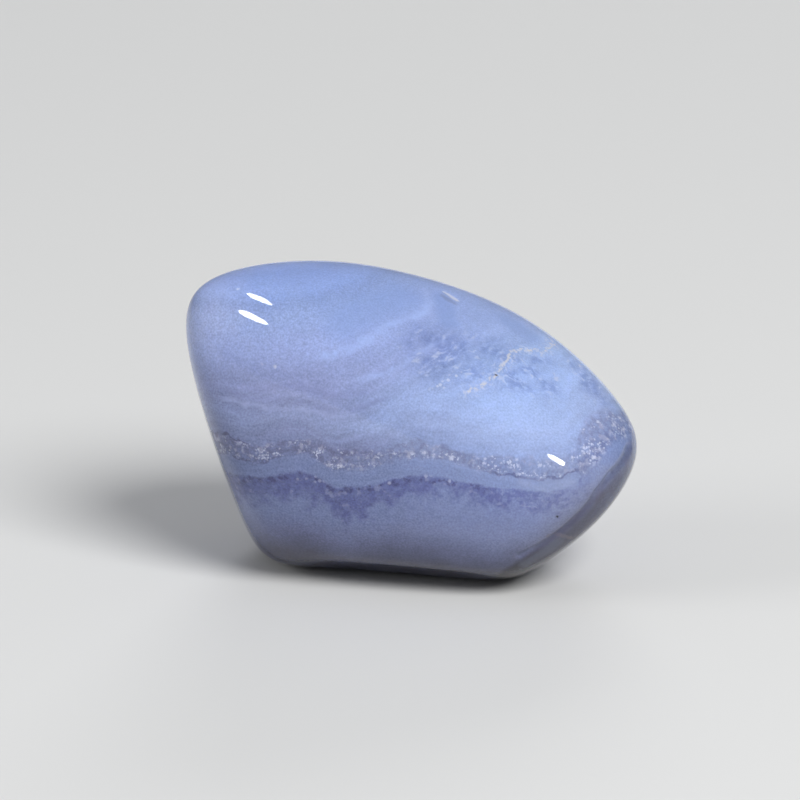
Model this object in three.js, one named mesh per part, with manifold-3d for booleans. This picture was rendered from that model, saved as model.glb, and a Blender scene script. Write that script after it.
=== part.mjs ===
// A tumbled stone of banded blue chalcedony, 30 mm long, resting on its underside.
// It is one piece. A broken lump has faces that meet in sharp edges, and tumbling wears the edges round and
// the faces a little convex. The skin is worked out in that order: faces around a middle, each part of a
// large ball, blended where they meet, then the long hollows that flakes left, then a small flat worn on the
// underside to rest on.
// Millimetres, +Z up. -Y is the broad front, and the pointed end is towards +X.

import * as THREE from "three";
import { mergeVertices } from "three/addons/utils/BufferGeometryUtils.js";
import Module from "manifold-3d";

const LENGTH = 30; // the whole stone along X; all other sizes keep their proportion to it
const FLAT_DEPTH = 0.2; // how much of the underside is worn away flat
const RIM_WEAR = 0.12; // how far the rims of the hollows are rounded
const GIRTH = new THREE.Vector3(15, 8.5, 10); // half sizes of the egg whose points spread the mesh evenly
const MESH_DETAIL = 17; // each triangle of the icosahedron is cut into 18 rows
const HALVINGS = 40; // steps of the search for the skin
const BLUE = 0x93a4d4;

// Each face looks towards turn (degrees about Z, from +X) and rise (degrees above level). Its highest point
// lies away from the stone's middle, crown is the radius it bulges with, and worn says how wide the rounding
// is where it meets its neighbours.
const FACES = [
  { name: "front", turn: -97, rise: 2, away: 7.5, crown: 90, worn: 1.6 },
  { name: "front slope", turn: -52, rise: 55, away: 7.9, crown: 110, worn: 1.3 },
  { name: "front undercut", turn: -105, rise: -42, away: 9.1, crown: 150, worn: 1.3 },
  { name: "top", turn: 114, rise: 72, away: 12.6, crown: 300, worn: 0.8 },
  { name: "top, falling to the right", turn: 49, rise: 67, away: 10.1, crown: 150, worn: 1 },
  { name: "upper right", turn: 18, rise: 44, away: 11.1, crown: 150, worn: 1 },
  { name: "lower right", turn: -11, rise: -31, away: 13, crown: 300, worn: 0.8 },
  { name: "right undercut", turn: -25, rise: -52, away: 11.5, crown: 300, worn: 0.6 },
  { name: "left end", turn: 187, rise: -18.5, away: 12.4, crown: 200, worn: 0.7 },
  { name: "left shoulder", turn: 168, rise: 32, away: 18.9, crown: 200, worn: 0.5 },
  { name: "underside", turn: 0, rise: -90, away: 9.3, crown: 200, worn: 0.5 },
  { name: "back", turn: 83, rise: 6, away: 8, crown: 60, worn: 1 },
  { name: "back slope", turn: 110, rise: 48, away: 13.3, crown: 60, worn: 1 },
  { name: "back undercut", turn: 75, rise: -38, away: 9.8, crown: 60, worn: 1 },
  { name: "back left", turn: 142, rise: 4, away: 13.2, crown: 60, worn: 1 },
  { name: "back right", turn: 38, rise: -6, away: 12.2, crown: 60, worn: 1 },
];

// Each hollow is what a round rod would leave that is sunk into the skin between two ends. Places are
// measured from the stone's middle.
const HOLLOWS = [
  { name: "flake scar, lower right", ends: [[16.3, -8.5, -1.9], [13.6, -10, -4.9]], radius: 5 },
  { name: "its lower end", ends: [[13.6, -10, -4.9], [8.9, -10.3, -8.8]], radius: 5 },
  { name: "hollow under the front", ends: [[-6, -8.2, -19], [2, -10.2, -19]], radius: 12.6 },
  { name: "flake scar on the back", ends: [[5.4, 23.1, 0.6], [8.4, 22.7, 0.6]], radius: 16 },
  { name: "dimple on the back slope", ends: [[-9.8, 11.2, 16.3], [-6.8, 12, 16.9]], radius: 10 },
];

function facing(turn, rise) {
  const level = Math.cos(THREE.MathUtils.degToRad(rise));
  return new THREE.Vector3(
    level * Math.cos(THREE.MathUtils.degToRad(turn)),
    level * Math.sin(THREE.MathUtils.degToRad(turn)),
    Math.sin(THREE.MathUtils.degToRad(rise)),
  );
}

const balls = FACES.map(({ turn, rise, away, crown, worn }) => ({
  middle: facing(turn, rise).multiplyScalar(away - crown),
  crown,
  worn,
}));
const rods = HOLLOWS.map(({ ends: [from, to], radius }) => ({
  axis: new THREE.Line3(new THREE.Vector3(...from), new THREE.Vector3(...to)),
  radius,
}));

// How far the worn block's skin is from the middle in a direction. Every face presses on a point, with a
// press of one on the face itself and less inside it, and the skin lies where the presses add up to one.
function wornBlock(direction) {
  const point = new THREE.Vector3();
  let inside = 0;
  let outside = LENGTH;
  for (let step = 0; step < HALVINGS; step++) {
    const reach = (inside + outside) / 2;
    point.copy(direction).multiplyScalar(reach);
    let press = 0;
    for (const { middle, crown, worn } of balls) {
      press += Math.exp((point.distanceTo(middle) - crown) / worn);
    }
    if (press < 1) inside = reach;
    else outside = reach;
  }
  return inside;
}

// How deep a rod is sunk in at a point, rounded at the rim.
function sunk(point, { axis, radius }) {
  const depth = radius - axis.closestPointToPoint(point, true, new THREE.Vector3()).distanceTo(point);
  return RIM_WEAR * Math.log1p(Math.exp(depth / RIM_WEAR));
}

function stoneSkin() {
  const ball = new THREE.IcosahedronGeometry(1, MESH_DETAIL);
  ball.deleteAttribute("normal");
  ball.deleteAttribute("uv");
  const skin = mergeVertices(ball, 1e-6);
  const places = skin.getAttribute("position");
  const direction = new THREE.Vector3();
  const point = new THREE.Vector3();
  for (let i = 0; i < places.count; i++) {
    direction.fromBufferAttribute(places, i).multiply(GIRTH).normalize();
    let reach = wornBlock(direction);
    for (const rod of rods) {
      point.copy(direction).multiplyScalar(reach);
      reach -= sunk(point, rod);
    }
    point.copy(direction).multiplyScalar(reach);
    places.setXYZ(i, point.x, point.y, point.z);
  }
  skin.computeBoundingBox();
  const scale = LENGTH / (skin.boundingBox.max.x - skin.boundingBox.min.x);
  return skin.scale(scale, scale, scale);
}

const wasm = await Module();
wasm.setup();

function toSolid(geometry) {
  return new wasm.Manifold(
    new wasm.Mesh({
      numProp: 3,
      vertProperties: new Float32Array(geometry.getAttribute("position").array),
      triVerts: new Uint32Array(geometry.index.array),
    }),
  );
}

function fromSolid(solid) {
  const { vertProperties, triVerts } = solid.getMesh();
  const geometry = new THREE.BufferGeometry();
  geometry.setAttribute("position", new THREE.BufferAttribute(new Float32Array(vertProperties), 3));
  geometry.setIndex(new THREE.BufferAttribute(new Uint32Array(triVerts), 1));
  return geometry;
}

// Everything below the flat the stone rests on, as a block wider than the stone.
function belowTheFlat(skin) {
  skin.computeBoundingBox();
  const block = new THREE.BoxGeometry(2 * LENGTH, 2 * LENGTH, LENGTH);
  block.deleteAttribute("normal");
  block.deleteAttribute("uv");
  block.translate(0, 0, skin.boundingBox.min.z + FLAT_DEPTH - LENGTH / 2);
  return mergeVertices(block);
}

function stoneBody() {
  const skin = stoneSkin();
  const body = fromSolid(toSolid(skin).subtract(toSolid(belowTheFlat(skin))));
  body.computeBoundingBox();
  const { min, max } = body.boundingBox;
  body.translate(-(min.x + max.x) / 2, -(min.y + max.y) / 2, -min.z);
  body.computeVertexNormals();
  return body;
}

const stone = new THREE.Mesh(
  stoneBody(),
  new THREE.MeshStandardMaterial({ color: BLUE, roughness: 0.15, metalness: 0 }),
);
stone.name = "chalcedony_stone";

const group = new THREE.Group();
group.add(stone);
export default group;
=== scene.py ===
# A tumbled stone of banded blue chalcedony on a pale floor, seen from its broad front.
# Metres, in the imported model's frame: +X towards the pointed end, -Y out of the broad front, +Z up.
import math

import bpy
import numpy as np
from mathutils import Matrix, Vector
from mathutils.bvhtree import BVHTree


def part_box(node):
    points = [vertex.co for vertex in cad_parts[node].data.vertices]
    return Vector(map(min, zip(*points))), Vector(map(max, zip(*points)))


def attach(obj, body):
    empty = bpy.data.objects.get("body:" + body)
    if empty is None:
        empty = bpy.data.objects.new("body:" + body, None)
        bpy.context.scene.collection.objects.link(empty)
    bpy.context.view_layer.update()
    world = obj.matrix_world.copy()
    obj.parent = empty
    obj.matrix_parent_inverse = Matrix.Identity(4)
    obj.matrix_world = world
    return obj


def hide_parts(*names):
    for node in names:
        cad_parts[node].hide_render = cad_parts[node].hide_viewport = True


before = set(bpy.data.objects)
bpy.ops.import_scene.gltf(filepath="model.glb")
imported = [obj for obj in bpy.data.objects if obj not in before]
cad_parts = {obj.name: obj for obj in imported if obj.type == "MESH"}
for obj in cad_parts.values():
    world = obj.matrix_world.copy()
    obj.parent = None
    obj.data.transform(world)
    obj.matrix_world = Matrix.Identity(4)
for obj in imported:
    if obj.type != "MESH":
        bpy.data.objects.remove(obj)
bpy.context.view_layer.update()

MM = 0.001
NODE = "chalcedony_stone"

# The photograph's view. It is square, and the stone's middle is a little right of and below the
# picture's.
PHOTO_SIDE = 800  # pixels
STONE_MIDDLE_AT = (412.5, 416.0)  # pixels
VIEW_RISE = math.radians(18)
VIEW_DISTANCE = 300 * MM
VIEW_WIDTH = 53.33 * MM  # what the picture takes in at the stone's middle
SENSOR = 36.0  # the camera's own millimetres
NEAREST_SEEN = 10 * MM

# The skin: how near two points are to be joined, how large its small faces are, and how often and
# how far each point is then moved towards its neighbours.
WELD = 0.01 * MM
SKIN_CELL = 0.16 * MM
SKIN_SMOOTHING = 130
SMOOTHING_STEP = 0.5

# Marks on the skin, as pixels of the photograph from one end to the other.
MARKS = {
    "scar groove": [
        (629, 447), (610, 475), (597, 492), (582, 512), (567, 526), (556, 535), (541, 545),
        (521, 555),
    ],
    "chip": [(445, 292), (451, 296), (457, 300)],
    "dark pit": [(557, 517)],
    "vein": [
        (465, 392), (480, 386), (496, 375), (505, 362), (514, 350), (528, 350), (543, 352),
        (551, 346), (552, 340),
    ],
    "brown pit": [(496, 375)],
    "feathers": [(432, 352), (470, 358), (512, 366), (535, 372)],
    "feathers by the edge": [(580, 368), (595, 392)],
    "dotted line": [(433, 391), (447, 382), (459, 371)],
    "shade of the chip": [(443, 296), (449, 300), (454, 303)],
    "light line": [
        (306, 357), (333, 356), (356, 346), (379, 332), (402, 320), (420, 314), (431, 305),
        (428, 296), (420, 287), (416, 284),
    ],
    "second light line": [
        (350, 384), (374, 377), (398, 366), (412, 357), (424, 350), (438, 343), (452, 341),
    ],
    "dark layer line": [
        (205, 383), (222, 389), (243, 396), (262, 399), (285, 400), (305, 403), (320, 408),
        (338, 412), (355, 410), (376, 403), (398, 393),
    ],
    "light layer line": [
        (212, 396), (228, 400), (250, 405), (266, 407), (298, 409), (322, 413), (342, 417),
        (362, 415),
    ],
    "upper dark layer line": [
        (232, 386), (262, 387), (295, 386), (318, 391), (340, 397), (362, 393), (385, 385),
    ],
    "shade over the light line": [(345, 322), (380, 305), (402, 297)],
    "shade by the light line": [(442, 299), (448, 321)],
    "shade over the vein": [(510, 322), (529, 335)],
    "light gap": [(524, 481), (548, 485), (571, 484)],
    "bruise": [(238, 289)],
    "lip of the scar": [(526, 563), (543, 553), (558, 542)],
    "end of the scar": [(548, 536), (560, 535), (572, 538)],
    "speck": [(275, 367)],
    "faint speck": [(262, 364)],
    "speck in the groove": [(606, 480)],
    "thin line": [(520, 506), (537, 507)],
}

# The marks that are cut into the skin: name, half width and depth.
CUT_MARKS = [
    ("scar groove", 0.42 * MM, 0.22 * MM),
    ("chip", 0.3 * MM, 0.05 * MM),
    ("dark pit", 0.2 * MM, 0.1 * MM),
]

# The marks that are coloured, each over those before it: name, colour, half width in millimetres
# and strength.
COLOURED_MARKS = [
    ("shade over the light line", (0.21, 0.30, 0.57), 2.3, 0.42),
    ("shade by the light line", (0.20, 0.285, 0.55), 1.1, 0.5),
    ("shade over the vein", (0.20, 0.28, 0.52), 1.5, 0.45),
    ("light gap", (0.31, 0.36, 0.54), 0.7, 0.35),
    ("bruise", (0.52, 0.58, 0.74), 0.14, 0.7),
    ("lip of the scar", (0.17, 0.195, 0.28), 0.8, 0.3),
    ("end of the scar", (0.15, 0.13, 0.16), 0.22, 0.5),
    ("shade of the chip", (0.13, 0.14, 0.20), 0.35, 0.35),
    ("chip", (0.55, 0.58, 0.70), 0.27, 0.8),
    ("dark pit", (0.02, 0.02, 0.03), 0.16, 1.0),
    ("brown pit", (0.07, 0.05, 0.04), 0.14, 1.0),
    ("speck", (0.50, 0.52, 0.66), 0.16, 0.8),
    ("faint speck", (0.40, 0.42, 0.58), 0.14, 0.5),
    ("speck in the groove", (0.45, 0.46, 0.54), 0.12, 0.8),
    ("thin line", (0.32, 0.36, 0.52), 0.07, 0.35),
]
MARK_CORE = 0.2  # the share of a mark's half width that has its whole strength

# The lines that are worn thin by places: name, colour, half width in millimetres and strength.
WORN_LINES = [
    ("light line", (0.36, 0.46, 0.78), 0.55, 0.55),
    ("second light line", (0.36, 0.46, 0.78), 0.42, 0.4),
    ("dark layer line", (0.18, 0.20, 0.38), 0.3, 0.5),
    ("upper dark layer line", (0.20, 0.22, 0.41), 0.4, 0.35),
    ("light layer line", (0.30, 0.35, 0.58), 0.28, 0.6),
]

# The layers of the stone, as heights in millimetres up the stack that they form. The photograph's
# view looks along them, so a point's height in the stack is the height at which that view shows
# it, with the waves taken out.
STACK = (-2.0, 20.0)  # from below the foot to above the top
FOOT = 1.2
LIGHT_ZONE = 3.8
VIOLET_EDGE = 6.4
SPECKLED = 8.1
PLAIN_ZONE = 10.2
TOP_LAYERS = 18.0

# How far the speckled layer hangs under its height at some places along X.
WAVE = [
    (-14, -0.4), (-12.7, -0.26), (-10.3, 0.39), (-7.7, -0.06), (-6, 0.58), (-4.5, 1.23),
    (-2.7, 1.04), (-1, 0.39), (0.7, 0.13), (2.9, 0.58), (4.9, 1.18), (7, 1.35), (8.75, 1.52),
    (9.6, 1.4), (10.3, 1.0), (11.1, 0.15), (11.9, -0.65), (12.8, -1.3), (14, -1.75),
]
# Where along Y the waves of the front give way to those of the back, and the length and height of
# the ones at the back.
BACK = (2.5, 8.0)
BACK_WAVE_LENGTH = 9.0
BACK_WAVE_HEIGHT = 6.0
# How much further than elsewhere the violet layer hangs down at some places along X.
HANG = [
    (-14, 0.0), (-6.2, 0.0), (-4.1, 0.9), (-2.2, 0.0), (0.5, -0.2), (2.8, -0.8), (5.2, 0.0),
    (14, 0.0),
]
# How many times further apart than at the left the layers over the speckled one lie there.
SPREAD = [(-15, 1.0), (-8, 1.0), (-5, 1.07), (-2, 1.25), (1, 1.54), (6, 1.96), (14, 2.6)]

# The ground colour of the layers: height, colour at the blunt end and colour at the pointed end.
# Towards the foot they are partly the stone's own darker layers and partly painted shade.
GROUND_AND_FOOT_SHADE = [
    (0.0, (0.05, 0.05, 0.085), (0.06, 0.06, 0.10)),
    (FOOT, (0.064, 0.066, 0.125), (0.16, 0.18, 0.32)),
    (2.6, (0.156, 0.178, 0.338), (0.235, 0.275, 0.475)),
    (LIGHT_ZONE, (0.18, 0.22, 0.41), (0.215, 0.26, 0.47)),
    (7.2, (0.156, 0.193, 0.36), (0.22, 0.283, 0.51)),
    (9.2, (0.19, 0.22, 0.385), (0.32, 0.40, 0.64)),
    (PLAIN_ZONE, (0.22, 0.26, 0.44), (0.32, 0.42, 0.69)),
    (11.2, (0.235, 0.27, 0.465), (0.31, 0.41, 0.67)),
    (12.2, (0.25, 0.285, 0.49), (0.28, 0.36, 0.61)),
    (15.0, (0.287, 0.35, 0.60), (0.26, 0.35, 0.63)),
    (16.6, (0.272, 0.35, 0.60), (0.23, 0.317, 0.59)),
    (TOP_LAYERS, (0.208, 0.28, 0.51), (0.197, 0.278, 0.545)),
    (19.5, (0.135, 0.185, 0.355), (0.175, 0.245, 0.48)),
]

# The light and dark lines over the speckled layer: height and brightness.
LINES = [
    (9.0, 1.0), (9.8, 1.02), (10.4, 1.04), (11.1, 0.97), (12.0, 1.03), (13.0, 0.98),
    (14.0, 1.03), (14.9, 1.0), (16.2, 0.97), (17.5, 1.0),
]
# How much more slowly the fine lines change along a layer than across it.
LINE_STRETCH = 0.12

# Colours that are laid over the ground, some of them as filters.
VIOLET = (0.58, 0.55, 0.73)
SPECKLED_GROUND = (0.745, 0.69, 0.705)
HAZE = (0.84, 0.82, 0.86)
DARK_LINE = (0.62, 0.57, 0.64)
WHITE_GRAIN = (0.62, 0.66, 0.82)
VEIN_WHITE = (0.50, 0.54, 0.68)
VEIN_YELLOW = (0.57, 0.555, 0.56)
FEATHER_DARK = (0.66, 0.69, 0.79)
FACET_GREY = (0.64, 0.62, 0.59)
FACET_STAIN = (0.90, 0.84, 0.86)
FACET_SHADE = (0.72, 0.72, 0.74)
# Painted shade at the foot of the scar's facet.
FACET_FOOT_SHADE = (0.54, 0.525, 0.56)
SOFT_BLOB = (0.36, 0.37, 0.50)
# Painted light high on the left end, where its edge turns away from the lamps, and painted shade
# lower on it and at its foot.
LEFT_END_PAINTED_LIGHT = (1.19, 1.10, 1.03)
LEFT_END_PAINTED_SHADE = (0.84, 0.86, 0.89)
LEFT_FOOT_PAINTED_SHADE = (0.80, 0.82, 0.86)
POINT_BELOW = (1.05, 1.0, 0.92)
POINT_SHADE = (0.84, 0.87, 0.88)
# Painted shade beside the groove of the scar and in it.
GROOVE_FLANK_SHADE = (0.83, 0.80, 0.77)
GROOVE_SHADE = (0.11, 0.115, 0.21)
GROOVE_DEEP_SHADE = (0.06, 0.06, 0.09)

# The crease between the front and the facet of the scar. A straight line leans to the right by as
# much as it rises. The crease touches it at one height, and bends to the left above and below.
CREASE_START = 7.0  # where that line has no height
CREASE_TOUCH = 4.0
CREASE_BEND = 0.062

# The polish and the slight translucence of the stone.
POLISH = 0.035
STONE_IOR = 1.54
TRANSLUCENCE = 0.4
LIGHT_SPREAD = (1.0, 0.75, 0.5)
LIGHT_DEPTH = 1.5 * MM

FLOOR_HALF_SIDE = 1000 * MM
FLOOR_COLOUR = (0.65, 0.65, 0.64, 1)
FLOOR_ROUGHNESS = 0.9
FLOOR_GLOSS = 0.2

# The soft lamps: the direction of each from the stone, and its radiance.
SOFTBOXES = {
    "softbox": ((0.42, -0.60, 0.68), 17),
    "fill": ((-0.92, -0.2, 0.4), 4.5),
    "back light": ((0.1, 0.9, 0.35), 6),
}
SOFTBOX_DISTANCE = 800 * MM
SOFTBOX_SIZE = 400 * MM
ROOM_COLOUR = (0.9, 0.93, 1, 1)
ROOM_STRENGTH = 0.25

# Each glint's middle, length and width in pixels, and how many degrees it slopes down to the right.
GLINTS = {
    "upper glint": ((257.7, 298), (25.2, 4.7), 21.5),
    "lower glint": ((249.8, 315.5), (26.8, 6), 23.5),
    "glint by the point": ((557.5, 460.6), (18, 5.6), 29.5),
}
# Where the gloss sends a ray comes from the faces of a small patch around it, and how that changes
# over the glint comes from some pixels on every side of its middle.
GLOSS_PATCH = 0.4 * MM
GLINT_STEPS = (-14, -7, 0, 7, 14)  # pixels
GLINT_LAMP_DISTANCE = 500 * MM
GLINT_RADIANCE = 25


def camera_axes():
    """The directions that point right, up and back to the camera in the photograph's view."""
    back = Vector((0, -math.cos(VIEW_RISE), math.sin(VIEW_RISE)))
    right = Vector((1, 0, 0))
    return right, back.cross(right), back


def picture_point(pixel):
    """Where a pixel of the photograph lies on the plane through the stone's middle that faces the
    camera."""
    right, up, _ = camera_axes()
    step = VIEW_WIDTH / PHOTO_SIDE
    across = (pixel[0] - STONE_MIDDLE_AT[0]) * step
    rise = (STONE_MIDDLE_AT[1] - pixel[1]) * step
    return middle + across * right + rise * up


def place_camera():
    data = bpy.data.cameras.new("camera")
    data.sensor_width = SENSOR
    data.lens = SENSOR * VIEW_DISTANCE / VIEW_WIDTH
    data.clip_start = NEAREST_SEEN
    camera = bpy.data.objects.new("camera", data)
    back = camera_axes()[2]
    camera.location = picture_point((PHOTO_SIDE / 2, PHOTO_SIDE / 2)) + VIEW_DISTANCE * back
    camera.rotation_euler = back.to_track_quat("Z", "Y").to_euler()
    bpy.context.scene.collection.objects.link(camera)
    bpy.context.scene.camera = camera
    return camera


def fine_skin():
    """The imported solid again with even, small faces, so that its marks can be cut into it."""
    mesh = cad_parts[NODE].data.copy()
    mesh.materials.clear()
    stone = bpy.data.objects.new("chalcedony", mesh)
    bpy.context.scene.collection.objects.link(stone)
    weld = stone.modifiers.new("weld", "WELD")
    weld.merge_threshold = WELD
    stone.modifiers.new("round", "SUBSURF").levels = 1
    even = stone.modifiers.new("even", "REMESH")
    even.mode = "VOXEL"
    even.voxel_size = SKIN_CELL
    smooth = stone.modifiers.new("smooth", "SMOOTH")
    smooth.iterations = SKIN_SMOOTHING
    smooth.factor = SMOOTHING_STEP
    depsgraph = bpy.context.evaluated_depsgraph_get()
    worked = bpy.data.meshes.new_from_object(stone.evaluated_get(depsgraph))
    stone.modifiers.clear()
    stone.data = worked
    worked.name = "chalcedony"
    worked.shade_smooth()
    return stone


def skin_tree():
    """The stone's skin as it is by now, for rays to be cast at."""
    return BVHTree.FromObject(stone, bpy.context.evaluated_depsgraph_get())


def skin_under(pixels, tree):
    """The points of the stone under some pixels of the photograph."""
    eye = camera.location
    return [tree.ray_cast(eye, (picture_point(p) - eye).normalized())[0] for p in pixels]


def away_from(points, course):
    """How far each point is from a course of straight stretches, or from a single point."""
    ends = np.array(course)
    nearest = np.full(len(points), np.inf)
    for start, end in zip(ends, ends[1:] if len(ends) > 1 else ends):
        stretch = end - start
        along = np.clip((points - start) @ stretch / (stretch @ stretch or 1), 0, 1)
        gap = np.linalg.norm(points - start - along[:, None] * stretch, axis=1)
        nearest = np.minimum(nearest, gap)
    return nearest


def cut_marks(marks):
    """Presses each course (points, half width, depth) into the skin, deepest in its middle."""
    mesh = stone.data
    points = np.empty(len(mesh.vertices) * 3, np.float32)
    normals = np.empty(len(mesh.vertices) * 3, np.float32)
    mesh.vertices.foreach_get("co", points)
    mesh.vertices.foreach_get("normal", normals)
    points = points.reshape(-1, 3).astype(float)
    normals = normals.reshape(-1, 3)
    sink = np.zeros(len(points))
    for course, half_width, depth in marks:
        near = np.clip(1 - away_from(points, course) / half_width, 0, 1)
        sink += depth * near * near * (3 - 2 * near)
    points -= normals * sink[:, None]
    mesh.vertices.foreach_set("co", points.astype(np.float32).ravel())
    mesh.update()


class Reading:
    """What a socket of the finish gives. Python's operators on readings that are numbers add Math
    nodes."""

    def __init__(self, finish, socket):
        self.finish = finish
        self.socket = socket

    def beside(self, name):
        """What another socket of the same node gives."""
        return Reading(self.finish, self.socket.node.outputs[name])

    def __add__(self, other):
        return self.finish.math("ADD", self, other)

    def __sub__(self, other):
        return self.finish.math("SUBTRACT", self, other)

    def __rsub__(self, other):
        return self.finish.math("SUBTRACT", other, self)

    def __mul__(self, other):
        return self.finish.math("MULTIPLY", self, other)

    def __truediv__(self, other):
        return self.finish.math("DIVIDE", self, other)

    def __abs__(self):
        return self.finish.math("ABSOLUTE", self)

    __radd__ = __add__
    __rmul__ = __mul__


class Finish:
    """One material and its nodes. Its sizes and places are in millimetres."""

    def __init__(self, name):
        self.material = bpy.data.materials.new(name)
        self.material.use_nodes = True
        self.tree = self.material.node_tree
        self.tree.nodes.clear()

    def node(self, kind, settings, sockets, result=0):
        """Adds a node, with its settings first and then the values or links of its sockets."""
        node = self.tree.nodes.new(kind)
        for name, value in settings.items():
            if name == "stops":
                set_stops(node.color_ramp, value)
            elif name == "points":
                set_points(node.mapping, value)
            else:
                setattr(node, name, value)
        for name, value in sockets.items():
            socket = node.inputs[name]
            if isinstance(value, Reading):
                self.tree.links.new(value.socket, socket)
            elif socket.type == "RGBA":
                socket.default_value = (*value, 1)
            else:
                socket.default_value = value
        return Reading(self, node.outputs[result]) if node.outputs else None

    def math(self, operation, *values):
        return self.node("ShaderNodeMath", {"operation": operation}, dict(enumerate(values)))

    def vector(self, operation, *values, result=0, **named):
        sockets = {**dict(enumerate(values)), **named}
        return self.node("ShaderNodeVectorMath", {"operation": operation}, sockets, result)

    def axes(self, place):
        """The three numbers of a place."""
        along_x = self.node("ShaderNodeSeparateXYZ", {}, {0: place})
        return along_x, along_x.beside("Y"), along_x.beside("Z")

    def rise(self, value, start, end):
        """0 up to start and 1 from end, with a smooth rise between them."""
        sockets = {"Value": value, "From Min": start, "From Max": end}
        return self.node("ShaderNodeMapRange", {"interpolation_type": "SMOOTHSTEP"}, sockets)

    def fall(self, value, start, end):
        """1 up to start and 0 from end, with a smooth fall between them."""
        return 1 - self.rise(value, start, end)

    def mix(self, under, over, amount):
        """One colour over another."""
        return self.node("ShaderNodeMix", {"data_type": "RGBA"}, {0: amount, 6: under, 7: over}, 2)

    def tint(self, colour, filter_colour, amount):
        """A colour seen through a coloured filter."""
        settings = {"data_type": "RGBA", "blend_type": "MULTIPLY"}
        return self.node("ShaderNodeMix", settings, {0: amount, 6: colour, 7: filter_colour}, 2)

    def noise(self, place, size, detail=2.0):
        """A number from 0 to 1 that changes by chance from place to place."""
        sockets = {"Vector": place, "Scale": 1 / size, "Detail": detail}
        return self.node("ShaderNodeTexNoise", {}, sockets)

    def stray(self, place, size, detail=2.0):
        """A number from -0.5 to 0.5 that changes by chance from place to place."""
        return self.noise(place, size, detail) - 0.5

    def shaken(self, place, size, reach):
        """A place that has strayed by chance, in every direction by up to half the reach."""
        stray = self.vector("SUBTRACT", self.noise(place, size).beside("Color"), (0.5, 0.5, 0.5))
        return self.vector("ADD", place, self.vector("SCALE", stray, Scale=reach))

    def grains(self, place, size):
        """How far a point is from the middle of its grain, from 0 to about 1, and a number of that
        grain's own."""
        from_middle = self.node("ShaderNodeTexVoronoi", {}, {"Vector": place, "Scale": 1 / size})
        own = self.node("ShaderNodeSeparateColor", {}, {0: from_middle.beside("Color")})
        return from_middle, own

    def ramp(self, value, low, high, stops):
        """A colour for each height between low and high."""
        placed = [((height - low) / (high - low), (*colour, 1)) for height, colour in stops]
        return self.node("ShaderNodeValToRGB", {"stops": placed}, {0: (value - low) / (high - low)})

    def curve(self, value, points):
        """A smooth line through some points."""
        low_x, high_x = points[0][0], points[-1][0]
        low_y, high_y = min(y for _, y in points), max(y for _, y in points)
        width, height = high_x - low_x, high_y - low_y
        placed = [((x - low_x) / width, (y - low_y) / height) for x, y in points]
        along = (value - low_x) / width
        share = self.node("ShaderNodeFloatCurve", {"points": placed}, {"Value": along})
        return share * height + low_y

    def away_from(self, place, course):
        """How far a point is from a course of straight stretches, or from a single point."""
        nearest = None
        for start, end in zip(course, course[1:] or course):
            stretch = end - start
            out = self.vector("SUBTRACT", place, tuple(start))
            gap = self.vector("LENGTH", out, result=1)
            if stretch.length > 0:
                unit = tuple(stretch.normalized())
                along = self.vector("DOT_PRODUCT", out, unit, result=1)
                along = self.math("MINIMUM", self.math("MAXIMUM", along, 0.0), stretch.length)
                foot = self.vector("SCALE", unit, Scale=along)
                gap = self.vector("DISTANCE", out, foot, result=1)
            nearest = gap if nearest is None else self.math("MINIMUM", nearest, gap)
        return nearest


def set_stops(ramp, stops):
    """Gives a colour ramp its stops."""
    while len(ramp.elements) < len(stops):
        ramp.elements.new(1.0)
    for element, (position, colour) in zip(ramp.elements, stops):
        element.position = position
        element.color = colour


def set_points(mapping, points):
    """Gives a curve its points."""
    curve = mapping.curves[0]
    while len(curve.points) < len(points):
        curve.points.new(1.0, 1.0)
    for point, place in zip(curve.points, points):
        point.location = place
    mapping.update()


# In the functions of the finish, place is a point and x and y are two of its numbers, seen is the
# height at which the photograph's view shows it, and stack is its height in the stack. These and
# the sizes of noises and grains are millimetres. Strengths and shares go from 0 to 1.


def height_in_stack(finish, place, x, y, seen):
    """How high a point lies over the speckled layer, from the height at which the photograph's
    view shows it, and where that is in the stack. The waves are weaker near the top and foot."""
    behind = finish.rise(y, *BACK)
    wave_behind = finish.stray(place, BACK_WAVE_LENGTH, 1.0) * BACK_WAVE_HEIGHT
    wave = finish.curve(x, WAVE) * (1 - behind) + wave_behind * behind
    sway = 1 - 0.85 * finish.rise(seen, 9.5, 13.5) - 0.6 * finish.fall(seen, 2.7, 7.9)
    over = seen + wave * sway + finish.stray(place, 1.8, 3.0) * 0.8 - SPECKLED
    above = finish.math("MAXIMUM", over, 0.0) / finish.curve(x, SPREAD)
    below = finish.math("MINIMUM", over, 0.0)
    return over, above + below + SPECKLED


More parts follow.
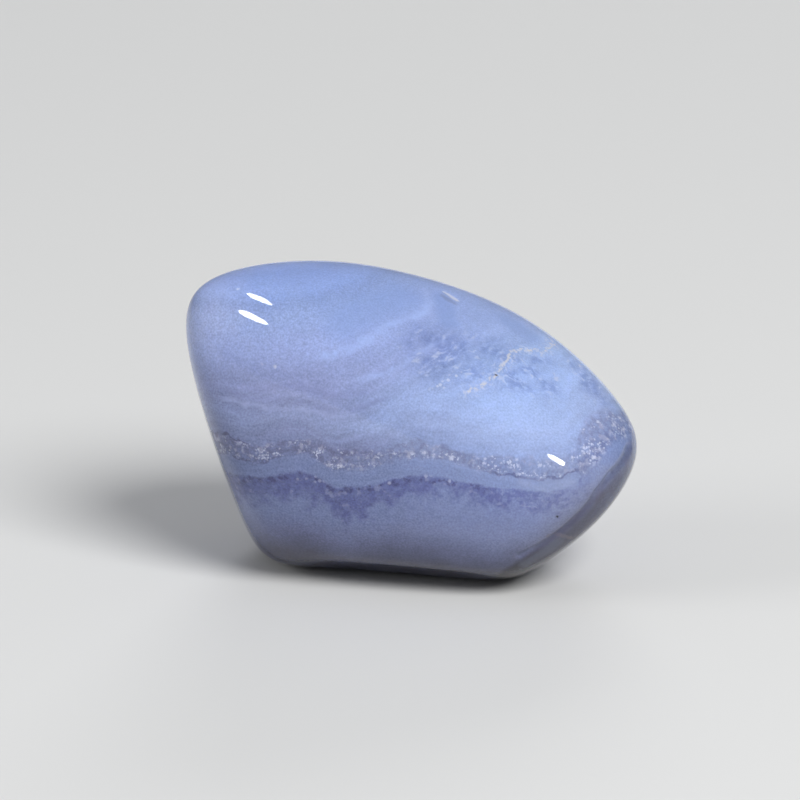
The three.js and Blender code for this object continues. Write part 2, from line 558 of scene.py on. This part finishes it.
def ground_colour_and_painted_light(finish, place, x, seen, stack):
    """The even colour of the layers, which changes along the stone, with painted shade towards the
    foot, on the lower left end and at its foot, painted light high on the left end, and darker at the
    point.
    """
    to_point = finish.rise(x + finish.stray(place, 6.0) * 4, -9.0, 8.0)
    # The ground colours darken towards the foot, partly as painted shade.
    blunt = finish.ramp(stack, *STACK, [(height, colour) for height, colour, _ in GROUND_AND_FOOT_SHADE])
    pointed = finish.ramp(stack, *STACK, [(height, colour) for height, _, colour in GROUND_AND_FOOT_SHADE])
    colour = finish.mix(blunt, pointed, to_point)
    # Painted light high on the left end, and painted shade lower on it and at its left foot.
    above = finish.rise(seen, 14.0, 17.0) * finish.fall(x, -13.5, -9.5)
    colour = finish.tint(colour, LEFT_END_PAINTED_LIGHT, above)
    below = finish.fall(seen, 12.0, 16.0) * finish.fall(x, -12.5, -7.5)
    colour = finish.tint(colour, LEFT_END_PAINTED_SHADE, below)
    foot = finish.fall(seen, 2.0, 4.5) * finish.fall(x, -10.5, -8.5)
    colour = finish.tint(colour, LEFT_FOOT_PAINTED_SHADE, foot)
    under_point = finish.rise(x, 7.0, 10.0) * finish.fall(seen, 6.5, 8.0)
    colour = finish.tint(colour, POINT_BELOW, under_point)
    return finish.tint(colour, POINT_SHADE, finish.rise(x, 12.2, 14.0))


def fine_lines(finish, place, x, y, stack):
    """How bright the fine lines are: broad ones by their heights, hair lines by chance."""
    along = {0: x * LINE_STRETCH, 1: y * LINE_STRETCH, 2: stack}
    along = finish.node("ShaderNodeCombineXYZ", {}, along)
    hair = finish.stray(along, 0.32, 5.0) * (0.62 - 0.22 * finish.rise(x, -5.0, 1.0))
    hair = hair * (1 - 0.85 * finish.rise(stack, 11.5, 13.5)) * finish.rise(stack, 2.0, 10.0)
    broad = finish.curve(stack + finish.stray(along, 1.6) * 0.9, LINES)
    cloud = finish.stray(place, 3.0) * 0.12
    tiny = finish.stray(place, 0.13) * (0.8 - 0.25 * finish.rise(x, -4.0, 4.0))
    small = finish.stray(place, 0.45) * 0.1
    return broad + hair + cloud + (tiny + small)


def white_grains(finish, place, size, share):
    """Rounded grains of a size in millimetres, with the given share of all of them there."""
    from_middle, own = finish.grains(place, size)
    rim = 0.3 + 0.35 * own
    return finish.fall(from_middle, rim * 0.4, rim) * finish.rise(own, 1 - share, 1.1 - share)


def add_speckled_layer(finish, place, colour, x, over):
    """A thin greyer layer full of white grains, thicker at both ends, with a dark line along some
    of its edge."""
    to_blunt = finish.fall(x, -10.0, -6.5)
    to_point = finish.rise(x, 10.5, 11.2)
    widening = 0.95 * to_point - 0.5 * finish.rise(x, 11.8, 13.5)
    thicker = finish.rise(x, -7.5, -5.5) * finish.fall(x, -4.0, -1.5)
    half = 0.5 + 0.1 * to_blunt + 0.35 * thicker + 0.25 * finish.rise(x, 3.5, 6.5) + widening
    ragged = finish.stray(place, 0.7, 4.0) * 0.9
    off = over + ragged - 0.4 * thicker
    out = abs(off) / half
    inside = finish.fall(out, 0.6, 1.2)
    haze = finish.rise(off, 0.0, 0.4) * finish.fall(off, 0.8, 2.2)
    haze = haze * finish.rise(x, -6.5, -4.5) * finish.fall(x, -2.0, -0.5)
    colour = finish.tint(colour, HAZE, haze)
    mottle = finish.rise(finish.noise(place, 0.4, 3.0), 0.42, 0.6)
    depth = 1.0 - 0.4 * finish.rise(x, 3.0, 8.0) + 0.5 * to_point
    colour = finish.tint(colour, SPECKLED_GROUND, inside * depth * (0.5 + 0.5 * mottle))
    edge = finish.rise(out, 0.78, 0.95) * finish.fall(out, 0.98, 1.2)
    lower = finish.rise(x, 4.0, 5.5) * (1 - to_point) * finish.fall(off, -0.2, 0.0)
    broken = finish.rise(finish.noise(place, 1.5), 0.4, 0.52)
    lined = finish.math("MAXIMUM", to_blunt * broken, lower)
    colour = finish.tint(colour, DARK_LINE, edge * lined)
    blobs = finish.rise(finish.noise(place, 0.55), 0.54, 0.68)
    colour = finish.mix(colour, SOFT_BLOB, blobs * inside * 0.45)
    clump = finish.rise(finish.noise(place, 0.9, 3.0) - off * 0.08, 0.4, 0.62)
    loose = finish.shaken(place, 0.15, 0.3)
    small = white_grains(finish, loose, 0.2, 0.6)
    large = white_grains(finish, loose, 0.36, 0.25)
    grain = finish.math("MAXIMUM", small, large)
    strength = 0.65 - 0.2 * to_blunt - 0.25 * finish.rise(x, 12.3, 13.8)
    return finish.mix(colour, WHITE_GRAIN, grain * clump * inside * strength)


def add_violet_layer(finish, place, colour, x, stack):
    """A violet layer with a sharp dotted upper edge, which hangs down in flecks and fades before
    the point."""
    below = VIOLET_EDGE - stack + finish.stray(place, 0.45, 3.0) * 0.55
    flecks = finish.stray(place, 0.9, 4.0) * 3.0
    length = finish.fall(x, 9.5, 12.5)
    fading = 1 - 0.35 * finish.rise(x, 3.5, 8.0)
    hanging = finish.fall(below + flecks - finish.curve(x, HANG), 0.8, 2.4)
    body = finish.rise(below, -0.08, 0.2) * hanging * length * fading
    right = finish.rise(x, 3.5, 7.0)
    contrast = 0.45 + 0.45 * right
    mottle = finish.rise(finish.noise(place, 0.35, 4.0), 0.38, 0.62)
    strength = body * (0.75 - 0.3 * right + contrast * mottle)
    colour = finish.tint(colour, VIOLET, finish.math("MINIMUM", strength, 1.0))
    edge = finish.rise(below, -0.1, 0.1) * finish.fall(below, 0.3, 0.7) * finish.fall(x, 3.5, 6.0)
    from_middle, own = finish.grains(finish.shaken(place, 0.4, 1.0), 0.42)
    dots = finish.fall(from_middle, 0.3, 0.7)
    colour = finish.tint(colour, DARK_LINE, edge * dots * finish.rise(own, 0.1, 0.3))
    lights = white_grains(finish, place, 0.3, 0.3)
    lights = lights * finish.rise(finish.noise(place, 1.6, 1.0), 0.5, 0.6)
    colour = finish.mix(colour, WHITE_GRAIN, edge * lights * 0.32)
    fleck = finish.rise(finish.noise(place, 0.5, 3.0), 0.56, 0.7) * body
    return finish.mix(colour, WHITE_GRAIN, fleck * 0.12)


def add_feathers(finish, place, colour, x, marks):
    """Fine violet and white streaks beside the vein: they lie along the layers, and cross them
    right of it."""
    near = finish.fall(finish.away_from(place, marks["feathers"]), 0.8, 3.2)
    by_edge = finish.fall(finish.away_from(place, marks["feathers by the edge"]), 0.3, 1.8)
    near = finish.math("MAXIMUM", near, by_edge)
    bent_x, _, bent_z = finish.axes(finish.shaken(place, 1.2, 0.9))
    along = {0: bent_x * 0.35, 2: bent_z - bent_x * 0.2}
    along = finish.node("ShaderNodeCombineXYZ", {}, along)
    across = {0: bent_x * 0.4, 2: bent_z + bent_x * 0.55}
    across = finish.node("ShaderNodeCombineXYZ", {}, across)
    right = finish.rise(x, 5.4, 6.8)
    streak = finish.noise(along, 0.22, 4.0) * (1 - right) + finish.noise(across, 0.25, 4.0) * right
    patch = finish.rise(finish.noise(place, 1.5, 3.0), 0.38, 0.6)
    dark = 0.35 - 0.1 * right + (0.65 + 0.25 * right) * patch * finish.rise(streak, 0.42, 0.56)
    colour = finish.tint(colour, FEATHER_DARK, near * dark)
    light = finish.rise(1 - streak, 0.52, 0.66) * finish.rise(finish.noise(place, 0.8), 0.45, 0.6)
    colour = finish.mix(colour, VEIN_WHITE, near * light * (0.45 + 0.25 * right))
    dotted = finish.fall(finish.away_from(place, marks["dotted line"]), 0.1, 0.4)
    return finish.mix(colour, VEIN_WHITE, dotted * white_grains(finish, place, 0.3, 0.8) * 0.7)


def add_worn_lines(finish, place, colour, marks):
    """Single light and dark lines, worn thin by places and fading towards both ends."""
    shaken = finish.shaken(place, 1.0, 0.9)
    worn = 0.35 + 0.65 * finish.rise(finish.noise(place, 1.3, 3.0), 0.3, 0.62)
    for name, line_colour, half_width, strength in WORN_LINES:
        course = marks[name]
        flank = finish.fall(finish.away_from(shaken, course), 0.0, half_width)
        from_ends = [finish.away_from(place, [end]) for end in (course[0], course[-1])]
        there = flank * worn * finish.rise(finish.math("MINIMUM", *from_ends), 0.0, 1.5)
        colour = finish.mix(colour, line_colour, there * strength)
    return colour


def add_vein(finish, place, colour, course):
    """A crackled hair line of yellowish white."""
    away = finish.away_from(finish.shaken(place, 0.7, 0.9), course)
    halo = finish.fall(away, 0.1, 0.7) * finish.rise(finish.noise(place, 0.3, 3.0), 0.5, 0.62)
    colour = finish.mix(colour, VEIN_WHITE, halo * 0.5)
    broken = finish.rise(finish.noise(place, 0.22, 3.0), 0.4, 0.56)
    return finish.mix(colour, VEIN_YELLOW, finish.fall(away, 0.04, 0.2) * broken * 0.75)


def add_facet(finish, place, colour, x, y, seen):
    """The grey facet of the scar, right of its crease, with painted shade towards its far side and
    foot.
    """
    off = seen - CREASE_TOUCH
    from_crease = x - seen + off * off * CREASE_BEND - CREASE_START
    facet = finish.rise(from_crease, -0.3, 0.45) * finish.fall(y, -4.0, -1.0)
    colour = finish.tint(colour, FACET_GREY, facet)
    colour = finish.tint(colour, FACET_SHADE, facet * finish.rise(from_crease, 0.6, 3.2))
    # Painted shade towards the foot of the facet.
    colour = finish.tint(colour, FACET_FOOT_SHADE, facet * finish.fall(seen, 2.0, 8.0))
    stain = finish.rise(finish.noise(place, 1.2, 4.0), 0.42, 0.62)
    return finish.tint(colour, FACET_STAIN, facet * stain)


def add_groove_shade(finish, place, colour, seen, course):
    """The painted shade of the scar's groove: a soft dark line in it, strongest in its middle, and a
    wider, fainter one beside its lower part.
    """
    away = finish.away_from(place, course)
    worn = 0.55 + 0.45 * finish.rise(finish.noise(place, 1.0, 3.0), 0.35, 0.6)
    there = worn * finish.rise(finish.away_from(place, [course[-1]]), 0.2, 2.6)
    there = there * (1 - 0.6 * finish.rise(seen, 5.0, 8.0))
    # Painted shade beside the groove and in it.
    flank = finish.fall(away, 0.3, 2.2) * finish.fall(seen, 4.5, 6.8)
    colour = finish.tint(colour, GROOVE_FLANK_SHADE, flank)
    colour = finish.mix(colour, GROOVE_SHADE, finish.fall(away, 0.2, 1.0) * there * 0.55)
    return finish.mix(colour, GROOVE_DEEP_SHADE, finish.fall(away, 0.05, 0.35) * there * 0.6)


def add_marks(finish, place, colour, marks):
    """The coloured marks, with soft uneven edges."""
    shaken = finish.shaken(place, 0.35, 0.35)
    for name, mark_colour, half_width, strength in COLOURED_MARKS:
        away = finish.away_from(shaken, marks[name])
        there = finish.fall(away, half_width * MARK_CORE, half_width)
        colour = finish.mix(colour, mark_colour, there * strength)
    return colour


def chalcedony_finish(marks):
    """The banded stone. Marks are courses of points on the skin, in millimetres, by name."""
    finish = Finish("banded chalcedony")
    metres = finish.node("ShaderNodeTexCoord", {}, {}, "Object")
    place = finish.vector("SCALE", metres, Scale=1 / MM)
    x, y, z = finish.axes(place)
    seen = y * math.sin(VIEW_RISE) + z * math.cos(VIEW_RISE)
    over, stack = height_in_stack(finish, place, x, y, seen)

    colour = ground_colour_and_painted_light(finish, place, x, seen, stack)
    colour = finish.vector("SCALE", colour, Scale=fine_lines(finish, place, x, y, stack))
    colour = add_speckled_layer(finish, place, colour, x, over)
    colour = add_violet_layer(finish, place, colour, x, stack)
    colour = add_feathers(finish, place, colour, x, marks)
    colour = add_worn_lines(finish, place, colour, marks)
    colour = add_vein(finish, place, colour, marks["vein"])
    colour = add_facet(finish, place, colour, x, y, seen)
    colour = add_groove_shade(finish, place, colour, seen, marks["scar groove"])
    colour = add_marks(finish, place, colour, marks)

    base = finish.node("ShaderNodeBsdfPrincipled", {}, {
        "Base Color": colour,
        "Roughness": POLISH,
        "IOR": STONE_IOR,
        "Subsurface Weight": TRANSLUCENCE,
        "Subsurface Radius": LIGHT_SPREAD,
        "Subsurface Scale": LIGHT_DEPTH,
    })
    finish.node("ShaderNodeOutputMaterial", {}, {"Surface": base})
    return finish.material


def lay_floor():
    half = FLOOR_HALF_SIDE
    corners = [(-half, -half, 0), (half, -half, 0), (half, half, 0), (-half, half, 0)]
    mesh = bpy.data.meshes.new("floor")
    mesh.from_pydata(corners, [], [(0, 1, 2, 3)])
    floor = bpy.data.objects.new("floor", mesh)
    material = bpy.data.materials.new("pale floor")
    material.use_nodes = True
    shader = material.node_tree.nodes["Principled BSDF"]
    shader.inputs["Base Color"].default_value = FLOOR_COLOUR
    shader.inputs["Roughness"].default_value = FLOOR_ROUGHNESS
    shader.inputs["Specular IOR Level"].default_value = FLOOR_GLOSS
    mesh.materials.append(material)
    bpy.context.scene.collection.objects.link(floor)


def hang_lamp(name, at, aim, along, size, radiance):
    """A round lamp that faces a point, with its first size along a direction. Its radiance is in
    watts per square metre and steradian."""
    data = bpy.data.lights.new(name, "AREA")
    data.shape = "ELLIPSE"
    data.size, data.size_y = size
    area = math.pi / 4 * size[0] * size[1]
    data.energy = radiance * math.pi * area
    lamp = bpy.data.objects.new(name, data)
    back = (at - aim).normalized()
    side = (along - along.dot(back) * back).normalized()
    turn = Matrix((side, back.cross(side), back)).transposed()
    lamp.matrix_world = Matrix.Translation(at) @ turn.to_4x4()
    bpy.context.scene.collection.objects.link(lamp)
    return lamp


def hang_softbox(name, towards, radiance):
    """A large soft lamp. It lights the stone and doesn't show in its gloss."""
    at = middle + SOFTBOX_DISTANCE * Vector(towards).normalized()
    size = (SOFTBOX_SIZE, SOFTBOX_SIZE)
    hang_lamp(name, at, middle, Vector((1, 0, 0)), size, radiance).visible_glossy = False


def mirrored(pixel, tree):
    """The point of the skin under a pixel of the photograph, and where the camera's ray goes on
    from its gloss."""
    eye = camera.location
    ray = (picture_point(pixel) - eye).normalized()
    spot = tree.ray_cast(eye, ray)[0]
    faces = tree.find_nearest_range(spot, GLOSS_PATCH)
    normal = sum((face[1] for face in faces), Vector()).normalized()
    return spot, ray - 2 * ray.dot(normal) * normal


def hang_glint_lamp(name, glint, tree):
    """A lamp of the place and size that make its reflection show where a glint is seen. It shows
    in the gloss alone."""
    (across, down), (length, width), slope = glint
    slope = math.radians(slope)
    spot, towards = mirrored((across, down), tree)
    steps = [(right, lower) for right in GLINT_STEPS for lower in GLINT_STEPS]
    turned = [mirrored((across + right, down + lower), tree)[1] - towards for right, lower in steps]
    turn_per_pixel = np.linalg.lstsq(np.array(steps, float), np.array(turned), rcond=None)[0]
    spans = []
    for size, angle in ((length, slope), (width, slope + math.pi / 2)):
        pixels = size * np.array((math.cos(angle), math.sin(angle)))
        spans.append(GLINT_LAMP_DISTANCE * pixels @ turn_per_pixel)
    axes, size, _ = np.linalg.svd(np.array(spans).T, full_matrices=False)
    at = spot + GLINT_LAMP_DISTANCE * towards
    lamp = hang_lamp(name, at, spot, Vector(axes[:, 0]), size.tolist(), GLINT_RADIANCE)
    lamp.visible_diffuse = False


def light_room():
    world = bpy.data.worlds.new("room")
    world.use_nodes = True
    background = world.node_tree.nodes["Background"]
    background.inputs["Color"].default_value = ROOM_COLOUR
    background.inputs["Strength"].default_value = ROOM_STRENGTH
    bpy.context.scene.world = world
    for name, (towards, radiance) in SOFTBOXES.items():
        hang_softbox(name, towards, radiance)
    tree = skin_tree()
    for name, glint in GLINTS.items():
        hang_glint_lamp(name, glint, tree)


low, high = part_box(NODE)
middle = (low + high) / 2
camera = place_camera()
stone = fine_skin()
uncut = skin_tree()
courses = {name: skin_under(pixels, uncut) for name, pixels in MARKS.items()}
cut_marks([(courses[name], half_width, depth) for name, half_width, depth in CUT_MARKS])
in_millimetres = {name: [point / MM for point in course] for name, course in courses.items()}
stone.data.materials.append(chalcedony_finish(in_millimetres))
lay_floor()
light_room()
bpy.context.scene.view_settings.view_transform = "Standard"

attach(stone, "root")
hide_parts(NODE)
